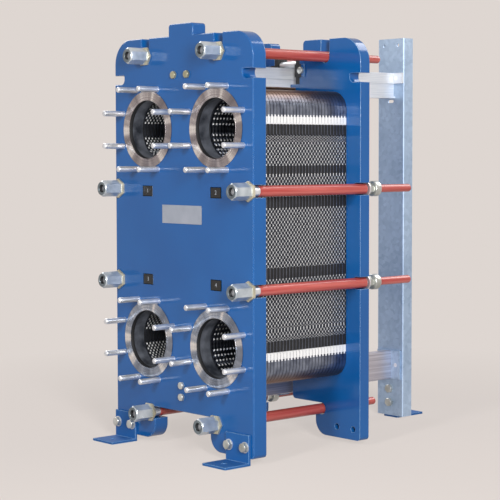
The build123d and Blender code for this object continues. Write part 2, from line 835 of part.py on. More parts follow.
for name, side in (("hanger_cheek_left", -1), ("hanger_cheek_right", 1)):
    with BuildPart() as cheek:
        with BuildSketch(facing(pressure_depth)):
            with Locations((side * (cheek_inner_x + cheek_outer_x) / 2, slot_floor)):
                Rectangle(cheek_width, cheek_height, align=(Align.CENTER, Align.MIN))
        extrude(amount=-pressure_plate_thickness)
        with BuildSketch(facing(pressure_depth)):
            flange_middle = side * (cheek_inner_x + (cheek_width + cheek_flange_width) / 2)
            with Locations((flange_middle, hanger_bolt_centres[0][1])):
                Rectangle(cheek_width + cheek_flange_width, cheek_flange_height)
        extrude(amount=cheek_flange_thickness)
        with BuildSketch(Plane.YZ.offset(-cheek_outer_x)):
            with Locations((front_face_y + roller_depth, roller_axis_height)):
                Circle(roller_pin_diameter / 2 + thread_gap)
        extrude(amount=2 * cheek_outer_x, mode=Mode.SUBTRACT)
        drill(
            hanger_bolt_centres,
            small_bolt + 2 * thread_gap,
            pressure_depth - cheek_flange_thickness,
            cheek_flange_thickness,
        )
    save(cheek, name)
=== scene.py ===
import bpy, bmesh, json, math
from mathutils import Matrix, Vector


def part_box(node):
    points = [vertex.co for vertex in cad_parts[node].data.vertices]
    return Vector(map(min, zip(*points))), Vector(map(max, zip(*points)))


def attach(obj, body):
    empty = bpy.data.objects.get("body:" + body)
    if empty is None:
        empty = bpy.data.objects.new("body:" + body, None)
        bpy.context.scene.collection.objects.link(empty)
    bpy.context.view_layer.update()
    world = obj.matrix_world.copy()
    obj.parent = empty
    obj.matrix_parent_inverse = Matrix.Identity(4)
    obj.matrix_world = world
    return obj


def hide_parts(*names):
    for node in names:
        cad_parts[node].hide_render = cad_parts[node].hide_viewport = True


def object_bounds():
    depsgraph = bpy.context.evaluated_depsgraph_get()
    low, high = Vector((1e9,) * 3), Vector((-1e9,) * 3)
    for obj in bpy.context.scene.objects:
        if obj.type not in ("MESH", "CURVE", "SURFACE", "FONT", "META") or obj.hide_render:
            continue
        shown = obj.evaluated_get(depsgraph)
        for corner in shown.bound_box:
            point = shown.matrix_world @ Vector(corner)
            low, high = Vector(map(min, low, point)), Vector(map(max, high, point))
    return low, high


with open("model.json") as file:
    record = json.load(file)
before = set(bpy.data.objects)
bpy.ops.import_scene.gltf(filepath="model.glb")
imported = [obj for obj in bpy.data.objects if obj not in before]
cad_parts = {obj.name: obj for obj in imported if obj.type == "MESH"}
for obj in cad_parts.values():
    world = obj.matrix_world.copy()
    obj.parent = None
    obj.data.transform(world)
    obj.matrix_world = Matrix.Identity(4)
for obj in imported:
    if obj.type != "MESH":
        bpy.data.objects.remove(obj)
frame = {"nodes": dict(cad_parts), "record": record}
nodes = frame["nodes"]
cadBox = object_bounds()
mm = 0.001
print("frame loaded:", len(nodes), "nodes")


# Places read from the frame
def middle(node):
    low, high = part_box(node)
    return (low + high) / 2


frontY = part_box("frame_plate")[0].y            # front face of the frame plate
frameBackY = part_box("frame_plate")[1].y
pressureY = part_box("pressure_plate")[0].y
floorZ = cadBox[0].z
portCentres = [middle(f"port_{i}_lining") for i in range(1, 5)]
boltCentres = [middle(f"rear_nut_{i}") for i in range(1, 9)]
mounts = {m["name"]: m for m in frame["record"]["mounts"]}
portRadius = mounts["port_1_bore"]["dims"]["r_mm"] * mm
studCircle = mounts["port_1_studs"]["dims"]["pcd_mm"] * mm
studRadius = mounts["port_1_studs"]["dims"]["stud_r_mm"] * mm


# Materials, each named for the finish it stands for
def paint(hexColour):
    # sRGB hex to a linear colour
    parts = [int(hexColour[i:i + 2], 16) / 255 for i in (1, 3, 5)]
    return [c / 12.92 if c <= 0.04045 else ((c + 0.055) / 1.055) ** 2.4 for c in parts] + [1.0]


def addNode(tree, kind, inputs=None, stops=(), **settings):
    # one node with its settings, its input values or links, and its colour stops as (position, hex) pairs;
    # a node given as an input stands for its first output
    node = tree.nodes.new("ShaderNode" + kind)
    for key, value in settings.items():
        setattr(node, key, value)
    for key, value in (inputs or {}).items():
        if isinstance(value, bpy.types.Node):
            value = value.outputs[0]
        if isinstance(value, bpy.types.NodeSocket):
            tree.links.new(value, node.inputs[key])
        else:
            node.inputs[key].default_value = value
    if stops:
        elements = node.color_ramp.elements
        while len(elements) < len(stops):
            elements.new(0.5)
        for element, (position, colour) in zip(elements, stops):
            element.position = position
            element.color = paint(colour)
    return node


def startMaterial(name):
    material = bpy.data.materials.new(name)
    material.use_nodes = True
    tree = material.node_tree
    tree.nodes.clear()
    place = addNode(tree, "TexCoord").outputs["Object"]
    return material, tree, place


def endMaterial(material, look):
    # look: the inputs of the shader that every finish of the machine ends in
    tree = material.node_tree
    shader = addNode(tree, "BsdfPrincipled", look)
    addNode(tree, "OutputMaterial", {"Surface": shader})
    return material


def seenByEye(tree):
    # 1 for camera, glossy and transmitted rays, 0 for the light that falls on things
    path = addNode(tree, "LightPath")
    direct = addNode(tree, "Math", {0: path.outputs["Is Camera Ray"], 1: path.outputs["Is Glossy Ray"]},
        operation="MAXIMUM")
    return addNode(tree, "Math", {0: direct, 1: path.outputs["Is Transmission Ray"]}, operation="MAXIMUM")


# Two-pack epoxy enamel sprayed on flame-cut steel: a hard gloss that mirrors the fittings softly, faint
# orange peel, slow tone drift; cut edges are rounded by the paint and paler there as a painted highlight
blueEnamel = {
    "colour": "#0E589A", "deep": "#0B5192", "peelMm": 7.0, "driftMm": 260.0, "roughness": 0.11,
    # the pale edge colour, with its share and lean, is a painted highlight along the cut edges
    "edgeMm": 4.0, "edge": "#A6CDEC", "highlightShare": 0.8, "highlightLean": (0.91, 0.75),
}
# the feet lie flat near the floor, where dust takes the gloss off
dustyEnamel = dict(blueEnamel, roughness=0.62)


def makeBlueEnamel(name, spec):
    material, tree, place = startMaterial(name)
    drift = addNode(tree, "TexNoise", {"Vector": place, "Scale": 1000 / spec["driftMm"], "Detail": 2.0})
    colour = addNode(tree, "ValToRGB", {"Fac": drift}, stops=[(0.3, spec["deep"]), (0.7, spec["colour"])])
    peel = addNode(tree, "TexNoise", {"Vector": place, "Scale": 1000 / spec["peelMm"], "Detail": 1.0})
    edge = addNode(tree, "Bevel", {"Radius": spec["edgeMm"] * mm}, samples=4)
    bump = addNode(tree, "Bump", {"Height": peel, "Strength": 0.05, "Distance": 0.0004, "Normal": edge})
    # painted highlight along the edges, where the rounded normal leaves the flat one
    flat = addNode(tree, "NewGeometry")
    lean = addNode(tree, "VectorMath", {0: edge, 1: flat.outputs["True Normal"]}, operation="DOT_PRODUCT")
    thin = addNode(tree, "MapRange", {"Value": lean.outputs["Value"], "From Min": spec["highlightLean"][0],
        "From Max": spec["highlightLean"][1], "To Max": spec["highlightShare"]})
    worn = addNode(tree, "Mix", {0: thin, 6: colour, 7: paint(spec["edge"])}, data_type="RGBA")
    smear = addNode(tree, "TexNoise", {"Vector": place, "Scale": 9.0, "Detail": 4.0})
    rough = addNode(tree, "MapRange", {"Value": smear, "To Min": spec["roughness"] - 0.03,
        "To Max": spec["roughness"] + 0.05})
    return endMaterial(material, {
        "Base Color": worn.outputs[2], "Roughness": rough, "Normal": bump, "IOR": 1.5})


# Hot-dip galvanised steel, passivated: dull blue-grey with soft spangle
galvanisedSteel = {"light": "#BED2E8", "dark": "#9AB0CA", "spangleMm": 14.0, "roughness": 0.52}


def makeGalvanised(spec):
    material, tree, place = startMaterial("galvanised_steel")
    spangle = addNode(tree, "TexVoronoi", {"Vector": place, "Scale": 1000 / spec["spangleMm"]})
    cloud = addNode(tree, "TexNoise", {"Vector": place, "Scale": 5.0, "Detail": 5.0})
    mixed = addNode(tree, "Mix", {0: 0.25, 6: cloud.outputs["Color"], 7: spangle.outputs["Color"]},
        data_type="RGBA")
    grey = addNode(tree, "RGBToBW", {"Color": mixed.outputs[2]})
    colour = addNode(tree, "ValToRGB", {"Fac": grey}, stops=[(0.3, spec["dark"]), (0.7, spec["light"])])
    rough = addNode(tree, "MapRange", {"Value": grey, "To Min": spec["roughness"] - 0.06,
        "To Max": spec["roughness"] + 0.10})
    return endMaterial(material, {
        "Base Color": colour, "Metallic": 0.7, "Roughness": rough})


# A metal with drawn or rolled lines along one axis: the lines are far longer than wide
def makeDrawnMetal(name, light, dark, roughness, lineMm, along, metallic=1.0, bumpStrength=0.08,
        stretch=60.0):
    material, tree, place = startMaterial(name)
    scale = [1000 / lineMm] * 3
    scale["XYZ".index(along)] /= stretch
    lines = addNode(tree, "Mapping", {"Vector": place, "Scale": scale})
    grain = addNode(tree, "TexNoise", {"Vector": lines, "Scale": 1.0, "Detail": 3.0})
    colour = addNode(tree, "ValToRGB", {"Fac": grain}, stops=[(0.3, dark), (0.7, light)])
    rough = addNode(tree, "MapRange", {"Value": grain, "To Min": roughness - 0.05,
        "To Max": roughness + 0.08})
    bump = addNode(tree, "Bump", {"Height": grain, "Strength": bumpStrength, "Distance": 0.0003})
    return endMaterial(material, {
        "Base Color": colour, "Metallic": metallic, "Roughness": rough, "Normal": bump})


# Pressed stainless sheet, cold rolled: the herringbone of the heat transfer area is 14 mm apart; a warm
# painted reflection lies on the top and bottom ends
stainlessSheet = {
    "light": "#98A0B0", "dark": "#666D7E", "warm": "#7C6455", "chevronMm": 14.0, "chevronSlope": 0.6,
    "chevronHalf": 0.26, "roughness": 0.34, "reflectionFrom": (1.19, 1.225), "reflectionBelow": (0.285, 0.255),
}


def makeStainlessSheet(spec):
    material, tree, place = startMaterial("stainless_sheet_pressed")
    parts = addNode(tree, "SeparateXYZ", {"Vector": place})
    fold = addNode(tree, "Math", {0: parts.outputs["X"]}, operation="ABSOLUTE")
    slant = addNode(tree, "Math", {0: fold, 1: spec["chevronSlope"], 2: parts.outputs["Z"]},
        operation="MULTIPLY_ADD")
    wave = addNode(tree, "Math", {0: slant, 1: 2 * math.pi * 1000 / spec["chevronMm"]}, operation="MULTIPLY")
    ridge = addNode(tree, "Math", {0: wave}, operation="SINE")
    # the herringbone stays off the rim, where the sheet is folded in the mesh itself
    inside = addNode(tree, "Math", {0: fold, 1: spec["chevronHalf"]}, operation="LESS_THAN")
    height = addNode(tree, "Math", {0: ridge, 1: inside}, operation="MULTIPLY")
    bump = addNode(tree, "Bump", {"Height": height, "Strength": 0.6, "Distance": 0.0012})
    cloud = addNode(tree, "TexNoise", {"Vector": place, "Scale": 30.0, "Detail": 3.0})
    colour = addNode(tree, "ValToRGB", {"Fac": cloud}, stops=[(0.3, spec["dark"]), (0.7, spec["light"])])
    # the warm tint at the top and bottom ends is a painted reflection
    ends = [addNode(tree, "MapRange", {"Value": parts.outputs["Z"], "From Min": floorZ + start,
        "From Max": floorZ + full}) for start, full in (spec["reflectionFrom"], spec["reflectionBelow"])]
    warm = addNode(tree, "Math", {0: ends[0], 1: ends[1]}, operation="MAXIMUM")
    tinted = addNode(tree, "Mix", {0: warm, 6: colour, 7: paint(spec["warm"])}, data_type="RGBA")
    return endMaterial(material, {
        "Base Color": tinted.outputs[2], "Metallic": 1.0, "Roughness": spec["roughness"], "Normal": bump})


# EPDM gasket rubber: near black, dull, with a fine moulded skin
gasketRubber = {"colour": "#0E0F11", "light": "#1B1C20", "skinMm": 1.2, "roughness": 0.62}


def makeRubber(spec):
    material, tree, place = startMaterial("epdm_rubber")
    skin = addNode(tree, "TexNoise", {"Vector": place, "Scale": 1000 / spec["skinMm"], "Detail": 2.0})
    colour = addNode(tree, "ValToRGB", {"Fac": skin}, stops=[(0.35, spec["colour"]), (0.75, spec["light"])])
    bump = addNode(tree, "Bump", {"Height": skin, "Strength": 0.15, "Distance": 0.0002})
    return endMaterial(material, {
        "Base Color": colour, "Roughness": spec["roughness"], "Normal": bump, "IOR": 1.52})


# Extruded polyethylene sleeve, coral red: soft sheen, slightly translucent, faint draw lines
redSleeve = {"colour": "#A43B35", "light": "#C2635C", "lineMm": 9.0, "roughness": 0.26}


def makeRedPlastic(spec):
    material, tree, place = startMaterial("polyethylene_red")
    stretched = addNode(tree, "Mapping", {"Vector": place,
        "Scale": [1000 / spec["lineMm"], 3.0, 1000 / spec["lineMm"]]})
    lines = addNode(tree, "TexNoise", {"Vector": stretched, "Scale": 1.0, "Detail": 2.0})
    colour = addNode(tree, "ValToRGB", {"Fac": lines}, stops=[(0.3, spec["colour"]), (0.7, spec["light"])])
    bump = addNode(tree, "Bump", {"Height": lines, "Strength": 0.12, "Distance": 0.0005})
    return endMaterial(material, {
        "Base Color": colour, "Roughness": spec["roughness"], "Normal": bump, "IOR": 1.5,
        "Subsurface Weight": 0.05, "Subsurface Radius": [0.004, 0.0012, 0.001]})


# Zinc-plated steel, machined: bright, a little blue; its turning marks are too fine to show, so they are
# drawn as a broad mottle
zincSteel = {"light": "#F0F2F5", "dark": "#CFD4DB", "mottleMm": 48.0, "roughness": 0.32, "metallic": 0.8}
# nuts and bolt heads: the same plating; a darker copy on the end faces is painted shade
dullZinc = dict(zincSteel, light="#D6DDE2", dark="#A0AAB1", roughness=0.22, metallic=0.55)
soiledZinc = dict(zincSteel, light="#89949A", dark="#59636A", roughness=0.30, metallic=0.75)
greyZinc = dict(zincSteel, light="#D6D8D4", dark="#A3A59F", roughness=0.28, metallic=0.7)
# passivated after plating, which leaves an olive or a warm straw tint
oliveTint = dict(zincSteel, light="#B8B498", dark="#77755F", roughness=0.28, metallic=0.6)
strawTint = dict(zincSteel, light="#D8D2BC", dark="#ADA68E", roughness=0.36, metallic=0.6)


def makeZinc(name, spec, threadMm=0.0):
    material, tree, place = startMaterial(name)
    marks = addNode(tree, "TexNoise", {"Vector": place, "Scale": 1000 / spec["mottleMm"], "Detail": 4.0})
    colour = addNode(tree, "ValToRGB", {"Fac": marks}, stops=[(0.3, spec["dark"]), (0.7, spec["light"])])
    rough = addNode(tree, "MapRange", {"Value": marks, "To Min": spec["roughness"] - 0.05,
        "To Max": spec["roughness"] + 0.10})
    height = marks
    strength, distance = 0.02, 0.0002
    if threadMm:
        # a rolled thread along Y, drawn as a wave of its own pitch
        parts = addNode(tree, "SeparateXYZ", {"Vector": place})
        turns = addNode(tree, "Math", {0: parts.outputs["Y"], 1: 2 * math.pi * 1000 / threadMm},
            operation="MULTIPLY")
        height = addNode(tree, "Math", {0: turns}, operation="SINE")
        strength, distance = 0.7, 0.001
    bump = addNode(tree, "Bump", {"Height": height, "Strength": strength, "Distance": distance})
    return endMaterial(material, {
        "Base Color": colour, "Metallic": spec["metallic"], "Roughness": rough, "Normal": bump})


# Turned stainless lining: concentric lathe lines round the port stretch each highlight into a wedge; light
# wedges in its colour are a painted highlight
turnedLining = {
    "light": "#ACA5A6", "dark": "#69646A", "paintedGlint": "#F0ECE8", "lineMm": 2.0, "wedges": 2.4,
    "roughness": 0.27, "stretch": 0.9,
}
lowerLining = dict(turnedLining, light="#A0A8B6", dark="#5F6878")     # the lower pair is given a bluer tone


def makeTurned(name, spec, centre):
    material, tree, place = startMaterial(name)
    local = addNode(tree, "VectorMath", {0: place, 1: [centre.x, centre.y, centre.z]}, operation="SUBTRACT")
    flat = addNode(tree, "VectorMath", {0: local, 1: [1, 0, 1]}, operation="MULTIPLY")
    reach = addNode(tree, "VectorMath", {0: flat}, operation="LENGTH")
    rings = addNode(tree, "Math", {0: reach.outputs["Value"], 1: 1000 / spec["lineMm"]}, operation="MULTIPLY")
    lines = addNode(tree, "TexNoise", {"W": rings, "Scale": 1.0, "Detail": 2.0}, noise_dimensions="1D")
    # painted highlight: wedges run from the bore to the rim, where the lathe marks would catch the light
    around = addNode(tree, "VectorMath", {0: flat}, operation="NORMALIZE")
    wedge = addNode(tree, "TexNoise", {"Vector": around, "Scale": spec["wedges"], "Detail": 2.0})
    mixed = addNode(tree, "Math", {0: lines, 1: 0.35, 2: wedge}, operation="MULTIPLY_ADD")
    colour = addNode(tree, "ValToRGB", {"Fac": mixed}, stops=[(0.45, spec["dark"]), (0.72, spec["light"]),
        (0.86, spec["paintedGlint"])])
    bump = addNode(tree, "Bump", {"Height": lines, "Strength": 0.10, "Distance": 0.0003})
    grain = addNode(tree, "Tangent", direction_type="RADIAL", axis="Y")
    return endMaterial(material, {
        "Base Color": colour, "Metallic": 1.0, "Roughness": spec["roughness"], "Normal": bump,
        "Anisotropic": spec["stretch"], "Tangent": grain})


# A plain finish with a light mottle: cast iron, label film, printing ink
def makePlain(name, light, dark, roughness, grainMm, metallic=0.0, bumpStrength=0.1):
    material, tree, place = startMaterial(name)
    grain = addNode(tree, "TexNoise", {"Vector": place, "Scale": 1000 / grainMm, "Detail": 3.0})
    colour = addNode(tree, "ValToRGB", {"Fac": grain}, stops=[(0.3, dark), (0.7, light)])
    bump = addNode(tree, "Bump", {"Height": grain, "Strength": bumpStrength, "Distance": 0.0003})
    return endMaterial(material, {
        "Base Color": colour, "Metallic": metallic, "Roughness": roughness, "Normal": bump})


blue = makeBlueEnamel("epoxy_enamel_blue", blueEnamel)
dustyBlue = makeBlueEnamel("epoxy_enamel_dusty", dustyEnamel)
galvanised = makeGalvanised(galvanisedSteel)
extrusion = makeDrawnMetal("anodised_aluminium", "#EDF0F4", "#D3D9E2", 0.40, 2.0, "Y", metallic=0.35)
flatBar = makeDrawnMetal("stainless_flat_bar", "#D8D6DE", "#B3B0BA", 0.38, 5.0, "Y", bumpStrength=0.15)
sheetSteel = makeStainlessSheet(stainlessSheet)
# sheared edge of the same sheet, bright and a little burred
sheetEdge = makePlain("stainless_sheared_edge", "#F3F5F8", "#D9DDE4", 0.36, 9.0, metallic=0.7,
    bumpStrength=0.05)
# the straight end of each lip, near white as a painted highlight where the rounded plate corners catch the
# light
brightLip = makePlain("stainless_lip_painted_highlight", "#FBFBFA", "#F3F3F3", 0.45, 12.0, metallic=0.1,
    bumpStrength=0.03)
# pressed knobs where the rims of two plates touch inside a port, near white as a painted highlight
knobSteel = makePlain("stainless_knob_painted_highlight", "#FAFAF8", "#EDEEF0", 0.45, 6.0, metallic=0.2,
    bumpStrength=0.03)
# inner faces of the folded rims, darkened as painted shade in the narrow folds
darkRim = makePlain("stainless_rim_painted_shade", "#565A63", "#3B3E46", 0.50, 9.0, metallic=0.6, bumpStrength=0.05)
# bore of the lining, pickled and dull, and darker as painted shade deep in the port
pickledBore = makePlain("stainless_pickled_bore_shaded", "#8E939E", "#3F434C", 0.34, 45.0, metallic=0.6,
    bumpStrength=0.05)
rubber = makeRubber(gasketRubber)
red = makeRedPlastic(redSleeve)
zinc = makeZinc("zinc_plated_steel", zincSteel)
nutZinc = makeZinc("zinc_plated_dull", dullZinc)
nutFace = makeZinc("zinc_plated_painted_shade", soiledZinc)
boltZinc = makeZinc("zinc_plated_bolt", greyZinc)
oliveZinc = makeZinc("zinc_olive_passivated", oliveTint)
zincThread = makeZinc("zinc_plated_thread", zincSteel, threadMm=3.0)
strawZinc = makeZinc("zinc_yellow_passivated", strawTint)
# near-black iron for the cast cheeks; in the nut recesses the same black is painted shade
castIron = makePlain("cast_iron_black_and_recess_shade", "#26282B", "#15171A", 0.55, 3.0, bumpStrength=0.3)
labelFilm = makePlain("label_film_black", "#101214", "#0A0B0C", 0.25, 20.0, bumpStrength=0.02)
labelInk = makePlain("label_ink_grey", "#A8ADB5", "#989EA8", 0.4, 20.0, bumpStrength=0.02)
silverPlate = makePlain("anodised_plate_silver", "#A8AEBA", "#9CA3B0", 0.38, 40.0, metallic=0.35,
    bumpStrength=0.02)

finishes = {
    "blue_paint": blue, "galvanised_steel": galvanised, "aluminium": extrusion, "gasket_rubber": rubber,
    "stainless_steel": sheetSteel, "red_plastic": red, "dark_iron": castIron, "plate_aluminium": silverPlate,
    "label_plastic": labelFilm, "zinc_steel": zinc,
}
for part in frame["record"]["subparts"]:
    mesh = nodes[part["node"]].data
    mesh.materials.clear()
    mesh.materials.append(finishes[part["material_slot"]])
ownFinish = {
    "tightening_rods": zincThread, "guide_bar": flatBar, "front_flanges": strawZinc,
    "front_foot_left": dustyBlue, "front_foot_right": dustyBlue, "rear_foot": dustyBlue,
}
for node, material in ownFinish.items():
    nodes[node].data.materials[0] = material
print("materials made:", len(bpy.data.materials))


# Helpers for new pieces
def meshFrom(bm, name):
    mesh = bpy.data.meshes.new(name)
    bm.to_mesh(mesh)
    bm.free()
    return mesh


def addObject(name, data):
    made = bpy.data.objects.new(name, data)
    bpy.context.scene.collection.objects.link(made)
    return made


def addPiece(name, bm, body, slot, *materials, replaces=(), smooth=0.0):
    # makes an object at the origin from a bmesh, in metres
    mesh = meshFrom(bm, name)
    piece = addObject(name, mesh)
    for material in materials:
        mesh.materials.append(material)
    if smooth:
        mesh.set_sharp_from_angle(angle=math.radians(smooth))
        mesh.polygons.foreach_set("use_smooth", [True] * len(mesh.polygons))
    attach(piece, body)
    if replaces:
        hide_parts(*replaces)


def facesOf(verts):
    # listed in the order of the vertices, since a set has no order of its own
    return list(dict.fromkeys(face for vert in verts for face in vert.link_faces))


def edgesOf(verts):
    return list(dict.fromkeys(edge for vert in verts for edge in vert.link_edges))


def outward(bm):
    bmesh.ops.remove_doubles(bm, verts=bm.verts[:], dist=1e-6)
    bmesh.ops.recalc_face_normals(bm, faces=bm.faces[:])


def turnRound(bm, points, steps, turns=1, rise=0.0):
    # spins a profile of (radius, depth) points, in mm, round the Y axis; rise is its climb at each step
    ring = [bm.verts.new((r * mm, d * mm, 0.0)) for r, d in points]
    edges = [bm.edges.new(pair) for pair in zip(ring, ring[1:])]
    bmesh.ops.spin(bm, geom=ring + edges, cent=(0, 0, 0), axis=(0, 1, 0), dvec=(0, rise * mm, 0),
        angle=2 * math.pi * turns, steps=turns * steps, use_merge=not rise, use_normal_flip=False,
        use_duplicate=False)


def spun(points, steps, bm=None):
    # one full turn of a profile, closed and facing outwards
    bm = bm or bmesh.new()
    turnRound(bm, points, steps)
    outward(bm)
    return bm


# turns of a hexagon, in degrees, as the solids have them: standing on a corner, or lying on a flat
onCorner, onFlat = 30.0, 0.0


def hexagonise(bm, across, turn, end=None, slope=0.5):
    # pushes the outer skin of a spun body out to a hexagon; the corners at one end stay chamfered
    half = across * mm / 2
    for vert in bm.verts:
        radius = math.hypot(vert.co.x, vert.co.z)
        if radius < half * 0.985:
            continue
        angle = (math.degrees(math.atan2(vert.co.z, vert.co.x)) - turn) % 60 - 30
        reach = half / math.cos(math.radians(angle))
        if end is not None and abs(vert.co.y - end * mm) < 1e-5:
            vert.co.y += (reach - half) * slope
        vert.co.x *= reach / radius
        vert.co.z *= reach / radius
    return bm


def repeated(shape, centres, bm=None):
    # copies one finished shape to each centre
    bm = bm or bmesh.new()
    mesh = meshFrom(shape, "shape")
    last = Vector((0, 0, 0))
    for centre in centres:
        mesh.transform(Matrix.Translation(centre - last))
        bm.from_mesh(mesh)
        last = centre
    bpy.data.meshes.remove(mesh)
    return bm


def block(bm, corner, opposite, material=0):
    # a box between two opposite corners, in metres
    low, high = zip(*map(sorted, zip(corner, opposite)))
    made = bmesh.ops.create_cube(bm, size=1.0)["verts"]
    bmesh.ops.scale(bm, vec=[b - a for a, b in zip(low, high)], verts=made)
    bmesh.ops.translate(bm, vec=[(a + b) / 2 for a, b in zip(low, high)], verts=made)
    for face in facesOf(made):
        face.material_index = material
    return made


def at(x, y, z):
    return Vector((x, y, z))


# Heat transfer plates
plateSpec = {
    "pitch": 7.42, "sheet": 0.9, "width": 604.0, "cornerRadius": 65.0, "cornerSteps": 8, "nest": 1.2,
    "rimSheet": 1.5, "rimLoops": (0.0, 3.5, 9.0), "rimFrom": (352.0, 1124.0), "rimRows": 169,
    "foldHeight": 2.95,
    "fineZones": ((1062.0, 1084.0), (391.0, 408.0), (434.0, 446.0)), "crest": 0.6,
    "flatBands": ((356.0, 391.0), (604.0, 640.0), (840.0, 876.0), (953.0, 982.0), (1084.0, 1121.0)),
    "tabInset": (1.3, 11.0), "tabShort": 1.5, "lipFrom": (356.0, 1121.0), "lip": 13.4, "lipSheet": 0.9,
    "brightLip": 25.0, "brightDepth": 14.3, "tongue": 6.0, "tongueProud": 0.2, "lug": 45.0, "lugHeight": 20.0,
    "webSlot": 18.0, "flangeSlot": 25.0, "hook": (-3.0, 7.0), "guideSlot": 17.0, "guideGap": 2.0,
    "portRim": (101.0, 109.0), "portFolds": 34, "portOverlap": 0.5, "calmHalf": (13.0, 6.0),
    "touch": (6.2, 2.4, 2.3, 6.1), "knobSink": 0.3,
}
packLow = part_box("front_end_plate")[0]
plateLow, lugTop = packLow.z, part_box("front_end_plate")[1].z
hookLow, hookTop = (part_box("carrying_bar")[0].z + step * mm for step in plateSpec["hook"])
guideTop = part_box("guide_bar")[1].z + plateSpec["guideGap"] * mm
sheetTop = lugTop - plateSpec["lugHeight"] * mm
plateHalf = plateSpec["width"] / 2
plateWide = plateHalf * mm
plateEdge = (plateHalf - plateSpec["rimLoops"][-1]) * mm
rimLow, rimHigh = (z * mm + floorZ for z in plateSpec["rimFrom"])
lugX, guideX = plateSpec["lug"] * mm, plateSpec["guideSlot"] * mm
# the looks of a plate, in the order of its material slots
plateLooks = (sheetSteel, sheetEdge, brightLip, knobSteel, darkRim, rubber)
sheetLook, edgeLook, lipLook, knobLook, soiledLook, rubberLook = range(len(plateLooks))


def flatFace(bm, corners):
    # one upright face from (x, z) corners in metres
    return bm.faces.new([bm.verts.new((x, 0.0, z)) for x, z in corners])


def thicken(bm, faces, thickness):
    grown = bmesh.ops.extrude_face_region(bm, geom=faces, use_keep_orig=True)
    lifted = [g for g in grown["geom"] if isinstance(g, bmesh.types.BMVert)]
    bmesh.ops.translate(bm, vec=(0, thickness, 0), verts=lifted)


def roundCorners(bm, corners, radius):
    bmesh.ops.bevel(bm, geom=corners, offset=radius * mm, affect="VERTICES",
        segments=plateSpec["cornerSteps"], profile=0.5, material=-1)


def rimWave(spec, row, height):
    # which way a side rim is folded at one row: 1 or -1
    if any(low < height < high for low, high in spec["fineZones"]):
        return 1 if row % 2 else -1
    if any(low <= height <= high for low, high in spec["flatBands"]):
        return 1
    return 1 if (row // 2) % 2 else -1


def foldedRims(bm, spec, sign):
    # a strip down each side, folded to and fro except at its two ends
    rows, loops = spec["rimRows"], spec["rimLoops"]
    for side in (-1, 1):
        strip = bmesh.ops.create_grid(bm, x_segments=2, y_segments=rows, size=0.5)["verts"]
        for vert in strip:
            column = loops[round((vert.co.x + 0.5) * 2)]
            row = round((vert.co.y + 0.5) * rows)
            z = rimLow + (rimHigh - rimLow) * row / rows
            height = (z - floorZ) / mm
            folds = column < loops[-1] and spec["flatBands"][0][0] < height < spec["flatBands"][-1][1]
            wave = rimWave(spec, row, height) if folds else 0
            vert.co = (side * (plateHalf - column) * mm, wave * sign * spec["foldHeight"] * mm, z)
        thicken(bm, facesOf(strip), spec["rimSheet"] * mm)


def plateSheet(bm, spec, sign):
    # the sheet between the rims, with its slots for the two bars, round corners and four port holes;
    # a plate without lips sits inside its neighbour's
    covered = plateWide if sign < 0 else plateWide - spec["nest"] * mm
    web, flange = spec["webSlot"] * mm, spec["flangeSlot"] * mm
    rightSide = [
        (guideX, plateLow), (covered, plateLow), (covered, rimLow), (plateEdge, rimLow), (plateEdge, rimHigh),
        (covered, rimHigh), (covered, sheetTop), (lugX, sheetTop), (lugX, lugTop), (web, lugTop),
        (web, hookTop),
        (flange, hookTop), (flange, hookLow),
    ]
    leftSide = [(-x, z) for x, z in reversed(rightSide)]
    face = flatFace(bm, rightSide + leftSide + [(-guideX, guideTop), (guideX, guideTop)])
    corners = [v for v in face.verts if abs(abs(v.co.x) - covered) < 1e-6
        and min(abs(v.co.z - plateLow), abs(v.co.z - sheetTop)) < 1e-6]
    roundCorners(bm, corners, spec["cornerRadius"])
    face = max(bm.faces, key=lambda f: f.calc_area())
    openEdges = list(face.edges)
    bmesh.ops.delete(bm, geom=[face], context="FACES_ONLY")
    for centre in portCentres:
        radius = (spec["portRim"][-1] - spec["portOverlap"]) * mm
        circle = bmesh.ops.create_circle(bm, segments=32, radius=radius, cap_ends=False)["verts"]
        for vert in circle:
            vert.co = (centre.x + vert.co.x, 0.0, centre.z + vert.co.y)
        openEdges += edgesOf(circle)
    filled = bmesh.ops.triangle_fill(bm, edges=openEdges, use_beauty=True)["geom"]
    filled = [g for g in filled if isinstance(g, bmesh.types.BMFace)]
    inPorts = []
    for face in filled:
        spot = face.calc_center_median()
        if any(math.hypot(spot.x - c.x, spot.z - c.z) < spec["portRim"][0] * mm for c in portCentres):
            inPorts.append(face)
    bmesh.ops.delete(bm, geom=inPorts, context="FACES_ONLY")
    thicken(bm, [f for f in filled if f.is_valid], spec["sheet"] * mm)


def pressedKnob(bm, spec, radius, angle, centre):
    # bridges two port rims where they touch
    wide, deep, low, high = (size * mm for size in spec["touch"])
    near = (radius - spec["knobSink"]) * mm
    knob = block(bm, (near, low, -wide / 2), (near + deep, high, wide / 2), material=knobLook)
    bmesh.ops.rotate(bm, cent=(0, 0, 0), matrix=Matrix.Rotation(-angle, 3, "Y"), verts=knob)
    bmesh.ops.translate(bm, vec=(centre.x, 0, centre.z), verts=knob)


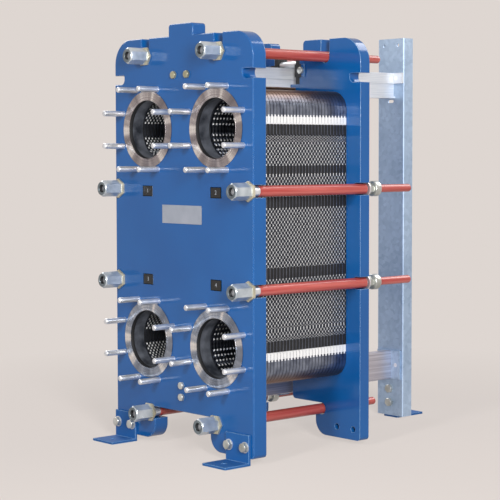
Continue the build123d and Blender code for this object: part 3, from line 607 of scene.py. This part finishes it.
def portRims(bm, spec, sign):
    # a narrow ring round each port, its inner edge folded to and fro
    steps = spec["portFolds"] * 4
    for centre in portCentres:
        twoSided = centre.x < 0     # the left ports are pressed both ways, the right ones in pairs
        calm = spec["calmHalf"][0 if twoSided else 1]
        loops = []
        for radius in spec["portRim"]:
            circle = bmesh.ops.create_circle(bm, segments=steps, radius=radius * mm, cap_ends=False)["verts"]
            for index, vert in enumerate(circle):
                wave = 1 if (index // 2) % 2 else (-1 if twoSided else 0)
                turn = math.degrees(math.atan2(vert.co.y, abs(vert.co.x)))
                folded = radius == spec["portRim"][0] and abs(turn) > calm
                if folded and index % 2 == 0 and wave * sign > 0:
                    angle = math.atan2(vert.co.y, vert.co.x) + math.pi / steps
                    pressedKnob(bm, spec, radius, angle, centre)
                tall = wave * sign * spec["foldHeight"] * mm if folded else 0.0
                vert.co = (centre.x + vert.co.x, tall, centre.z + vert.co.y)
            loops += edgesOf(circle)
        thicken(bm, bmesh.ops.bridge_loops(bm, edges=loops)["faces"], spec["sheet"] * mm)


def cornerLips(bm, spec):
    # lips folded over at the corners, so that the pack looks closed there
    inner = (plateHalf - spec["lipSheet"]) * mm
    bends = ((plateWide, spec["cornerRadius"]), (inner, spec["cornerRadius"] - spec["lipSheet"]))
    ends = ((spec["lipFrom"][1], sheetTop, lugX), (spec["lipFrom"][0], plateLow, guideX))
    for side in (-1, 1):
        for tip, flat, far in ends:
            tip = tip * mm + floorZ
            way = math.copysign(1, flat - tip)
            below = flat - way * spec["lipSheet"] * mm
            bright = tip + way * spec["brightLip"] * mm
            ribbon = [(plateWide, bright), (plateWide, flat), (far, flat), (far, below), (inner, below),
                (inner, bright)]
            flatFace(bm, [(side * x, z) for x, z in ribbon])
            for (x, radius), z in zip(bends, (flat, below)):
                turnAt = [v for v in bm.verts if v.co.y == 0 and len(v.link_faces) == 1
                    and abs(v.co.x - side * x) < 1e-6 and abs(v.co.z - z) < 1e-6]
                roundCorners(bm, turnAt, radius)
            rounded = len(ribbon) + 2 * spec["cornerSteps"]
            loose = [f for f in bm.faces if len(f.verts) == rounded
                and all(len(e.link_faces) == 1 for e in f.edges)]
            thicken(bm, loose, spec["lip"] * mm)
            # a near-white block on each lip end is a painted highlight
            block(bm, (side * plateWide, 0.0, tip), (side * inner, spec["brightDepth"] * mm, bright),
                material=lipLook)
            # the painted highlight ends in a small tongue on each lip
            tongue = bright + way * spec["tongue"] * mm
            near, last = (0.5 * (spec["lip"] + end * spec["tongue"]) * mm for end in (-1, 1))
            skin = side * (plateWide + spec["tongueProud"] * mm)
            block(bm, (skin, near, bright), (side * inner, last, tongue), material=lipLook)


def rubbedRims(bm, spec, sign):
    # painted shade on the inner faces, bright sheared edges, and a painted highlight on the crests where two
    # plates touch
    for face in bm.faces:
        centre = face.calc_center_median()
        if abs(centre.x) < plateEdge or not rimLow < centre.z < rimHigh or face.material_index:
            continue
        height = (centre.z - floorZ) / mm
        # inner faces take the dark rim finish as painted shade
        if abs(face.normal.x) < 0.7:
            face.material_index = soiledLook
        elif any(low < height < high for low, high in spec["flatBands"]):
            face.material_index = sheetLook if sign < 0 else rubberLook
        # crests take the near-white knob finish as a painted highlight
        elif abs(centre.x) > plateWide - spec["crest"] * mm:
            depths = [v.co.y for v in face.verts]
            crest = max(depths) - min(depths) < (spec["rimSheet"] + 0.1) * mm
            face.material_index = knobLook if crest else edgeLook


def pressedPlate(spec, sign):
    # one plate at Y 0; every other plate, of sign -1, has lips round its corners
    bm = bmesh.new()
    foldedRims(bm, spec, sign)
    plateSheet(bm, spec, sign)
    portRims(bm, spec, sign)
    if sign < 0:
        cornerLips(bm, spec)
    outward(bm)
    rubbedRims(bm, spec, sign)
    return meshFrom(bm, "plate")


plateMeshes = [pressedPlate(plateSpec, 1), pressedPlate(plateSpec, -1)]
print("one plate:", len(plateMeshes[0].polygons), "and", len(plateMeshes[1].polygons), "faces")
tabSet = bmesh.new()
for bottom, top in plateSpec["flatBands"]:
    for side in (-1, 1):
        outer, inner = (side * (plateHalf - inset) * mm for inset in plateSpec["tabInset"])
        back = -(plateSpec["pitch"] + plateSpec["foldHeight"] - plateSpec["tabShort"]) * mm
        block(tabSet, (inner, back, bottom * mm + floorZ),
            (outer, plateSpec["foldHeight"] * mm, top * mm + floorZ))
tabMesh = meshFrom(tabSet, "tabs")
for group in range(1, 5):
    low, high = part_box(f"channel_plates_{group}")
    first = round((low.y - packLow.y) / (plateSpec["pitch"] * mm))
    last = round((high.y - plateSpec["sheet"] * mm - packLow.y) / (plateSpec["pitch"] * mm))
    plates, tabs = bmesh.new(), bmesh.new()
    for index in range(first, last + 1):
        depth = packLow.y + (index * plateSpec["pitch"] - 0.05) * mm
        for bm, mesh in ((plates, plateMeshes[index % 2]), (tabs, tabMesh)):
            if bm is plates or index % 2 == 0:
                copy = mesh.copy()
                copy.transform(Matrix.Translation((0, depth, 0)))
                bm.from_mesh(copy)
                bpy.data.meshes.remove(copy)
    addPiece(f"pressed_plates_{group}", plates, f"pack_{group}", "stainless_steel", *plateLooks,
        replaces=[f"channel_plates_{group}"])
    addPiece(f"gasket_tabs_{group}", tabs, f"pack_{group}", "gasket_rubber", rubber)
print("plate pack made")


# Port linings
liningSpec = {
    "flange": 135.0, "proud": 3.0, "edge": 0.8, "bead": 104.0, "beadRadius": 1.4, "mouth": 101.8, "wall": 5.0,
    "sealDepth": 12.0, "sealInner": 100.2, "sealOuter": 101.6, "steps": 96,
}


def liningShape(spec, bore, thick):
    # flange, mouth and neck of one lining
    flange, bead, mouth, seat = (spec[key] for key in ("flange", "bead", "mouth", "sealDepth"))
    face, neck, root = -spec["proud"], bore + spec["wall"], -0.05
    return spun([
        (flange, root), (flange, face + spec["edge"]), (flange - spec["edge"], face), (bead + 1.5, face),
        (bead, face + 0.6), (bead - 1.0, face + 0.2), (mouth, face + 0.6), (mouth, seat), (bore, seat),
        (bore, thick), (neck, thick), (neck, root), (flange, root),
    ], spec["steps"])


def beadShape(spec):
    # polished bead round the mouth
    radius, across, out = spec["beadRadius"], spec["bead"] - 1.2, -spec["proud"] + 0.8
    arc = [t * math.pi / 4 for t in range(9)]
    return spun([(across + radius * math.cos(a), out + radius * math.sin(a)) for a in arc], spec["steps"])


def sealShape(spec):
    # rubber seal ring set in the mouth of the lining
    outer, inner, back = spec["sealOuter"], spec["sealInner"], spec["sealDepth"] - 0.3
    return spun([(outer, 0.6), (inner + 0.8, 0.0), (inner, 1.5), (inner, back), (outer, back), (outer, 0.6)],
        spec["steps"])


for number, centre in enumerate(portCentres, 1):
    start = [at(centre.x, frontY, centre.z)]
    bm = repeated(liningShape(liningSpec, portRadius / mm, (frameBackY - frontY) / mm), start)
    # faces deeper than the seal take the darker bore finish, partly as painted shade
    for face in bm.faces:
        if face.calc_center_median().y > frontY + (liningSpec["sealDepth"] + 0.1) * mm:
            face.material_index = 1
    repeated(beadShape(liningSpec), start, bm)
    look = lowerLining if centre.z < middle("frame_plate").z else turnedLining
    steel = makeTurned(f"turned_lining_{number}", look, centre)
    addPiece(f"port_{number}_lining_turned", bm, "frame", "stainless_steel", steel, pickledBore,
        replaces=[f"port_{number}_lining"], smooth=30)
    addPiece(f"port_{number}_seal", repeated(sealShape(liningSpec), start), "frame", "gasket_rubber", rubber,
        smooth=30)
print("port linings made")


# Port studs
studSpec = {"reach": 88.0, "pitch": 2.5, "depth": 0.4, "chamfer": 2.4, "steps": 16, "buried": 34.0}


def threadedStud(spec, radius):
    # one thread ridge is spun round the axis with a step along it; the root cylinder closes the ends
    turns = int((spec["reach"] - 3 * spec["chamfer"]) / spec["pitch"])
    y = -spec["reach"] + 1.2 * spec["chamfer"]
    root = radius / mm - spec["depth"]
    bm = bmesh.new()
    pitch, steps = spec["pitch"], spec["steps"]
    ridge = [(root, y), (radius / mm, y + pitch / 2), (root, y + pitch)]
    turnRound(bm, ridge, steps, turns, pitch / steps)
    core = root + 0.1
    return spun([(0.0, -spec["reach"]), (core - spec["chamfer"], -spec["reach"]),
        (core, -spec["reach"] + spec["chamfer"]), (core, spec["buried"]), (0.0, spec["buried"])], steps, bm)


for number, port in enumerate(portCentres, 1):
    spots = [math.radians(22.5 + 45 * k) for k in range(8)]
    centres = [at(port.x + studCircle / 2 * math.cos(a), frontY, port.z + studCircle / 2 * math.sin(a))
        for a in spots]
    addPiece(f"port_{number}_studs_threaded", repeated(threadedStud(studSpec, studRadius), centres), "frame",
        "zinc_steel", zinc, replaces=[f"port_{number}_studs"], smooth=60)
print("studs made")


# Nuts, flanges and bushes of the tightening bolts
frontNutSpec = {
    "across": 50.0, "length": 71.0, "bore": 12.1, "chamfer": 3.2, "recess": 14.0, "recessDepth": 18.0,
    "rim": 1.2,
    "flange": 60.0, "flangeThickness": 8.0, "steps": 48,
}


def frontNut(spec):
    # a long hexagon nut, with painted shade inside the recess of its end and on its end face
    recess, bore, half = spec["recess"], spec["bore"], spec["across"] / 2
    back = -spec["flangeThickness"]
    end = back - spec["length"]
    chamfer, bottom = end + spec["chamfer"], end + spec["recessDepth"]
    nut = spun([(bore, back), (half, back), (half, chamfer), (half * 0.94, end), (recess + spec["rim"], end),
        (recess, end + spec["rim"]), (recess, bottom), (bore, bottom), (bore, back)], spec["steps"])
    hexagonise(nut, spec["across"], onCorner, chamfer)
    # the recess takes the black iron and the end face the darker zinc, both as painted shade
    for face in nut.faces:
        centre = face.calc_center_median()
        if math.hypot(centre.x, centre.z) < (recess + 0.4) * mm and centre.y < (bottom + 1.0) * mm:
            face.material_index = 1
        elif face.normal.y < -0.5:
            face.material_index = 2
    return nut


def bearingFlange(spec, turn):
    # hexagon flange under the nut, its outer rim bevelled
    half, bore, back, face = spec["flange"] / 2, spec["bore"], -0.02, -spec["flangeThickness"]
    flange = spun([(bore, back), (half, back), (half, face + 0.2), (half * 0.96, face), (bore, face),
        (bore, back)], spec["steps"])
    return hexagonise(flange, spec["flange"], turn, face + 0.2, slope=0.4)


boltFronts = [at(c.x, frontY, c.z) for c in boltCentres]
addPiece("front_nuts_recessed", repeated(frontNut(frontNutSpec), boltFronts), "frame", "zinc_steel", nutZinc,
    castIron, nutFace, replaces=["front_nuts"], smooth=25)
sideX = max(abs(c.x) for c in boltCentres)
bm = bmesh.new()
for turn, atSides in ((onCorner, True), (onFlat, False)):
    chosen = [c for c in boltFronts if (abs(abs(c.x) - sideX) < 1 * mm) == atSides]
    repeated(bearingFlange(frontNutSpec, turn), chosen, bm)
addPiece("front_flanges_bevelled", bm, "frame", "zinc_steel", strawZinc, replaces=["front_flanges"],
    smooth=25)

bushSpec = {"outer": 19.0, "tip": 16.0, "length": 36.0, "bore": 12.1, "steps": 40}


def bearingBush(spec):
    # turned bush, narrower towards its tip
    outer, tip, length, bore = (spec[key] for key in ("outer", "tip", "length", "bore"))
    return spun([(bore, 0.0), (outer, 0.0), (outer, length * 0.42), (outer - 0.8, length * 0.5),
        (tip + 1.0, length - 1.5), (tip, length), (bore, length), (bore, 0.0)], spec["steps"])


addPiece("bearing_bushes_turned", repeated(bearingBush(bushSpec), boltFronts), "frame", "zinc_steel", zinc,
    replaces=["bearing_bushes"], smooth=25)

# rear side: a hexagon nut on each bolt, its collar and the closed cap over the thread
rearSpec = {
    "across": 36.0, "bore": 12.1, "chamfer": 0.8, "nutSteps": 36, "collar": 27.0, "collarEdge": 4.0,
    "collarBore": 12.9, "cap": 14.0, "dome": 8.0, "capWall": 1.5, "steps": 40,
}


def rearNut(spec, length):
    half, bore, edge = spec["across"] / 2, spec["bore"], spec["chamfer"]
    nut = spun([(bore, 0.0), (half * 0.95, 0.0), (half, edge), (half, length - edge), (half * 0.95, length),
        (bore, length), (bore, 0.0)], spec["nutSteps"])
    hexagonise(nut, spec["across"], onCorner, edge)
    return hexagonise(nut, spec["across"], onCorner, length - edge, slope=-0.5)


def capCollar(spec, length):
    outer, edge, bore = spec["collar"], spec["collarEdge"], spec["collarBore"]
    turns = [t * math.pi / 6 for t in range(4)]
    arc = [(outer - edge + edge * math.sin(a), edge - edge * math.cos(a)) for a in turns]
    return spun([(bore, 0.0)] + arc + [(r, length - d) for r, d in reversed(arc)]
        + [(bore, length), (bore, 0.0)], spec["steps"])


def threadCap(spec, length):
    # hollow, with a domed crown
    outer, dome, wall = spec["cap"], spec["dome"], spec["capWall"]
    base = length - dome
    turns = [t * math.pi / 12 for t in range(7)]
    crown = [(outer - dome + dome * math.cos(a), base + dome * math.sin(a)) for a in turns]
    return spun([(0.0, base), (outer - wall, base), (outer - wall, 0.3), (outer - 0.5, 0.0), (outer, 0.5)]
        + crown + [(0.0, length)], spec["steps"])


def overBolts(node, shape, spec, centres=boltCentres):
    # one shape on each bolt, as deep as the node and starting where it starts
    low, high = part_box(node)
    return repeated(shape(spec, (high.y - low.y) / mm), [at(c.x, low.y, c.z) for c in centres])


for number, centre in enumerate(boltCentres, 1):
    node = f"rear_nut_{number}"
    addPiece(f"{node}_chamfered", overBolts(node, rearNut, rearSpec, [centre]), node, "zinc_steel", boltZinc,
        replaces=[node], smooth=25)
addPiece("cap_collars_rounded", overBolts("cap_collars", capCollar, rearSpec), "pressure", "zinc_steel",
    boltZinc, replaces=["cap_collars"], smooth=30)
addPiece("thread_caps_domed", overBolts("thread_caps", threadCap, rearSpec), "pressure", "red_plastic", red,
    replaces=["thread_caps"], smooth=30)
print("bolt ends made")

# sleeves over the threads: extruded tube with shallow flutes
sleeveSpec = {"outer": 18.5, "wall": 5.0, "flute": 0.35, "flutes": 10, "steps": 60}


def threadSleeve(spec, length):
    outer, inner = spec["outer"], spec["outer"] - spec["wall"]
    sleeve = spun([(inner, 0.5), (inner + 0.6, 0.0), (outer - 0.8, 0.0), (outer, 0.8), (outer, length - 0.8),
        (outer - 0.8, length), (inner + 0.6, length), (inner, length - 0.5), (inner, 0.5)], spec["steps"])
    for vert in sleeve.verts:
        offset = at(vert.co.x, 0, vert.co.z)
        if offset.length > (outer - 1) * mm:
            wave = math.cos(spec["flutes"] * math.atan2(offset.z, offset.x))
            vert.co -= offset.normalized() * spec["flute"] * mm * (0.5 - 0.5 * wave)
    return sleeve


addPiece("thread_sleeves_fluted", overBolts("thread_sleeves", threadSleeve, sleeveSpec), "frame",
    "red_plastic", red, replaces=["thread_sleeves"], smooth=30)
print("sleeves made")


# Small hexagon bolts
def hexBolts(node, faceY, spec, body, finish):
    # heads with a chamfered crown towards -Y, and their shanks, one for each solid of the node
    half, head, shank, length = spec["across"] / 2, spec["head"], spec["shank"], spec["length"]
    bolt = spun([(0.0, -head), (half * 0.72, -head), (half * 0.93, -head + 0.4), (half, -head + 1.6),
        (half, 0.0), (shank, 0.0), (shank, length), (0.0, length)], 36)
    hexagonise(bolt, spec["across"], spec["turn"], -head + 1.6)
    addPiece(f"{node}_hex", repeated(bolt, loosePlaces(node, faceY)), body, "zinc_steel", finish,
        replaces=[node], smooth=25)


def loosePlaces(node, y):
    # one centre for each loose solid of a node, found from its vertices
    bm = bmesh.new()
    bm.from_mesh(nodes[node].data)
    bmesh.ops.remove_doubles(bm, verts=bm.verts[:], dist=1e-5)
    centres, seen = [], set()
    for start in bm.verts:
        island, front = [], [start]
        while front:
            vert = front.pop()
            if vert not in seen:
                seen.add(vert)
                island.append(vert)
                front += [e.other_vert(vert) for e in vert.link_edges]
        if island:
            xs, zs = [v.co.x for v in island], [v.co.z for v in island]
            centres.append(at((min(xs) + max(xs)) / 2, y, (min(zs) + max(zs)) / 2))
    bm.free()
    return centres


largeBolt = {"across": 30.0, "head": 13.0, "shank": 10.0, "length": 42.0, "turn": 12.0}
smallBolt = {"across": 24.0, "head": 10.0, "shank": 8.0, "length": 40.0, "turn": 8.0}
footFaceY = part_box("foot_washers")[0].y
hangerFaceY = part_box("hanger_bolts")[0].y + smallBolt["head"] * mm
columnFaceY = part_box("support_column")[0].y
for node, faceY, spec, body, finish in (
        ("foot_bolts", footFaceY, largeBolt, "frame", boltZinc),
        ("bar_bolts", frontY, smallBolt, "frame", oliveZinc),
        ("guide_bolts", frontY, smallBolt, "frame", boltZinc),
        ("hanger_bolts", hangerFaceY, dict(smallBolt, length=24.0), "pressure", boltZinc),
        ("rear_foot_bolts", columnFaceY, dict(largeBolt, length=13.0), "frame", boltZinc)):
    hexBolts(node, faceY, spec, body, finish)
print("small bolts made")


# Hanger cheeks: cast, the outer half of each flange painted in with the pressure plate
cheekFlange = {"thickness": 6.2}
flangeY = pressureY - cheekFlange["thickness"] * mm
for side in ("left", "right"):
    bm = bmesh.new()
    bm.from_mesh(nodes[f"hanger_cheek_{side}"].data)
    bmesh.ops.remove_doubles(bm, verts=bm.verts[:], dist=1e-5)
    bmesh.ops.dissolve_limit(bm, angle_limit=0.01, verts=bm.verts[:], edges=bm.edges[:])
    boltX = max((c.x for c in loosePlaces("hanger_bolts", 0.0)), key=lambda x: x if side == "right" else -x)
    bmesh.ops.bisect_plane(bm, geom=bm.verts[:] + bm.edges[:] + bm.faces[:], plane_co=(boltX, 0, 0),
        plane_no=(1, 0, 0))
    for face in bm.faces:
        centre = face.calc_center_median()
        if flangeY < centre.y < pressureY + 0.1 * mm and abs(centre.x) > abs(boltX):
            face.material_index = 1
    addPiece(f"hanger_cheek_{side}_painted", bm, "pressure", "dark_iron", castIron, blue,
        replaces=[f"hanger_cheek_{side}"])
print("hanger made")


# Port labels and name plate
def frameStrips(bm, low, high, band):
    # four strips that frame the rectangle between two (x, y, z) corners, in metres
    (left, front, bottom), (right, back, top) = low, high
    block(bm, (left, front, top - band), high)
    block(bm, low, (right, back, bottom + band))
    block(bm, (left, front, bottom + band), (left + band, back, top - band))
    block(bm, (right - band, front, bottom + band), (right, back, top - band))


labelSpec = {"border": 2.0, "height": 37.0, "deep": 1.0, "digit": 20.0, "proud": 0.3}
places = loosePlaces("port_labels", frontY)
places.sort(key=lambda c: (-c.z, c.x))
labelLow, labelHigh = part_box("port_labels")
sizeX = labelHigh.x - labelLow.x - (max(c.x for c in places) - min(c.x for c in places))
for number, centre in enumerate(places, 1):
    bm = bmesh.new()
    x, y, z = sizeX / 2, labelLow.y, labelSpec["height"] * mm / 2
    frameStrips(bm, (centre.x - x, y, centre.z - z), (centre.x + x, y + labelSpec["deep"] * mm, centre.z + z),
        labelSpec["border"] * mm)
    # the port's number, a plain digit
    digit = bpy.data.curves.new("digit", "FONT")
    digit.body = str(number)
    digit.size = labelSpec["digit"] * mm
    digit.extrude = labelSpec["proud"] / 2 * mm
    digit.align_x, digit.align_y = "CENTER", "CENTER"
    holder = bpy.data.objects.new("digit", digit)
    mesh = bpy.data.meshes.new_from_object(holder)
    mesh.transform(Matrix.Translation((centre.x, y, centre.z)) @ Matrix.Rotation(math.pi / 2, 4, "X"))
    bm.from_mesh(mesh)
    bpy.data.objects.remove(holder)
    bpy.data.curves.remove(digit)
    bpy.data.meshes.remove(mesh)
    addPiece(f"port_label_print_{number}", bm, "frame", "label_plastic", labelInk)

plateRim = {"band": 2.2, "back": 0.2, "front": 0.6, "rivet": 2.6, "rivetInset": 6.0}
low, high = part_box("name_plate")
bm = bmesh.new()
frameStrips(bm, (low.x, low.y - plateRim["back"] * mm, low.z),
    (high.x, low.y + plateRim["front"] * mm, high.z), plateRim["band"] * mm)
radius, inset = plateRim["rivet"], plateRim["rivetInset"] * mm
rivet = spun([(0.0, -0.9), (radius * 0.6, -0.7), (radius, 0.0), (radius, 0.3), (0.0, 0.3)], 16)
repeated(rivet, [at(x, low.y, (low.z + high.z) / 2) for x in (low.x + inset, high.x - inset)], bm)
addPiece("name_plate_rim", bm, "frame", "plate_aluminium", silverPlate)
print("labels made")


# Floor, world, lights and camera
stageSpec = {
    "colour": "#DED6D1", "paperLight": "#BCB4B0", "paperDark": "#B4ACA8", "radius": 30.0, "fadeFrom": 1.0,
    "fadeTo": 2.6, "fill": "#F2F1F0", "fillStrength": 0.25,
}


def makeFloor(spec):
    # soft paper floor: takes the shadow near the machine and runs into the backdrop further out
    material, tree, place = startMaterial("paper_floor")
    reach = addNode(tree, "VectorMath", {0: place}, operation="LENGTH")
    fade = addNode(tree, "MapRange", {"Value": reach.outputs["Value"], "From Min": spec["fadeFrom"],
        "From Max": spec["fadeTo"], "To Min": 0.75, "To Max": 1.0})
    grain = addNode(tree, "TexNoise", {"Vector": place, "Scale": 400.0, "Detail": 2.0})
    colour = addNode(tree, "ValToRGB", {"Fac": grain}, stops=[(0.2, spec["paperDark"]),
        (0.8, spec["paperLight"])])
    matt = addNode(tree, "BsdfDiffuse", {"Color": colour, "Roughness": 1.0})
    glow = addNode(tree, "Emission", {"Color": paint(spec["colour"]), "Strength": 1.0})
    share = addNode(tree, "Math", {0: seenByEye(tree), 1: fade}, operation="MULTIPLY")
    mixed = addNode(tree, "MixShader", {0: share, 1: matt, 2: glow})
    addNode(tree, "OutputMaterial", {"Surface": mixed})
    return material


bm = bmesh.new()
bmesh.ops.create_circle(bm, cap_ends=True, segments=96, radius=stageSpec["radius"])
mesh = meshFrom(bm, "floor")
mesh.transform(Matrix.Translation((0, 0, floorZ)))
mesh.materials.append(makeFloor(stageSpec))
floor = addObject("floor", mesh)

world = bpy.data.worlds.new("studio")
bpy.context.scene.world = world
world.use_nodes = True
tree = world.node_tree
tree.nodes.clear()
backdrop = addNode(tree, "Background", {"Color": paint(stageSpec["colour"]), "Strength": 1.0})
fill = addNode(tree, "Background", {"Color": paint(stageSpec["fill"]), "Strength": stageSpec["fillStrength"]})
mixed = addNode(tree, "MixShader", {0: seenByEye(tree), 1: fill, 2: backdrop})
addNode(tree, "OutputWorld", {"Surface": mixed})

lampAim = Vector((0.0, 0.0, 0.75))
lamps = {
    "key_softbox": {"place": (4.9, -3.0, 1.8), "size": (1.1, 2.4), "watts": 280.0},
    "front_softbox": {"place": (1.6, -4.9, 2.2), "size": (0.6, 0.6), "watts": 106.0},
    "back_softbox": {"place": (0.9, 4.4, 4.2), "size": (3.0, 3.0), "watts": 160.0},
    "left_softbox": {"place": (-4.2, 0.2, 4.2), "size": (3.0, 3.0), "watts": 120.0},
}
for name, spec in lamps.items():
    data = bpy.data.lights.new(name, "AREA")
    data.shape = "RECTANGLE"
    data.size, data.size_y = spec["size"]
    data.energy = spec["watts"]
    lamp = addObject(name, data)
    lamp.location = spec["place"]
    lamp.rotation_euler = (lampAim - Vector(spec["place"])).to_track_quat("-Z", "Y").to_euler()

cameraSpec = {
    "place": (4157.9, -3381.7, 1025.75), "turn": 48.36, "down": 3.55, "roll": 0.12, "lens": 112.95,
    "sensor": 36.0,
}
data = bpy.data.cameras.new("camera")
data.lens = cameraSpec["lens"]
data.sensor_width = cameraSpec["sensor"]
data.clip_start, data.clip_end = 0.1, 100.0
camera = addObject("camera", data)
x, y, z = cameraSpec["place"]
camera.location = (x * mm, frontY + y * mm, floorZ + z * mm)
angles = (90 - cameraSpec["down"], cameraSpec["roll"], cameraSpec["turn"])
camera.rotation_euler = [math.radians(angle) for angle in angles]
bpy.context.scene.camera = camera
bpy.context.scene.view_settings.view_transform = "Standard"
print("stage set")
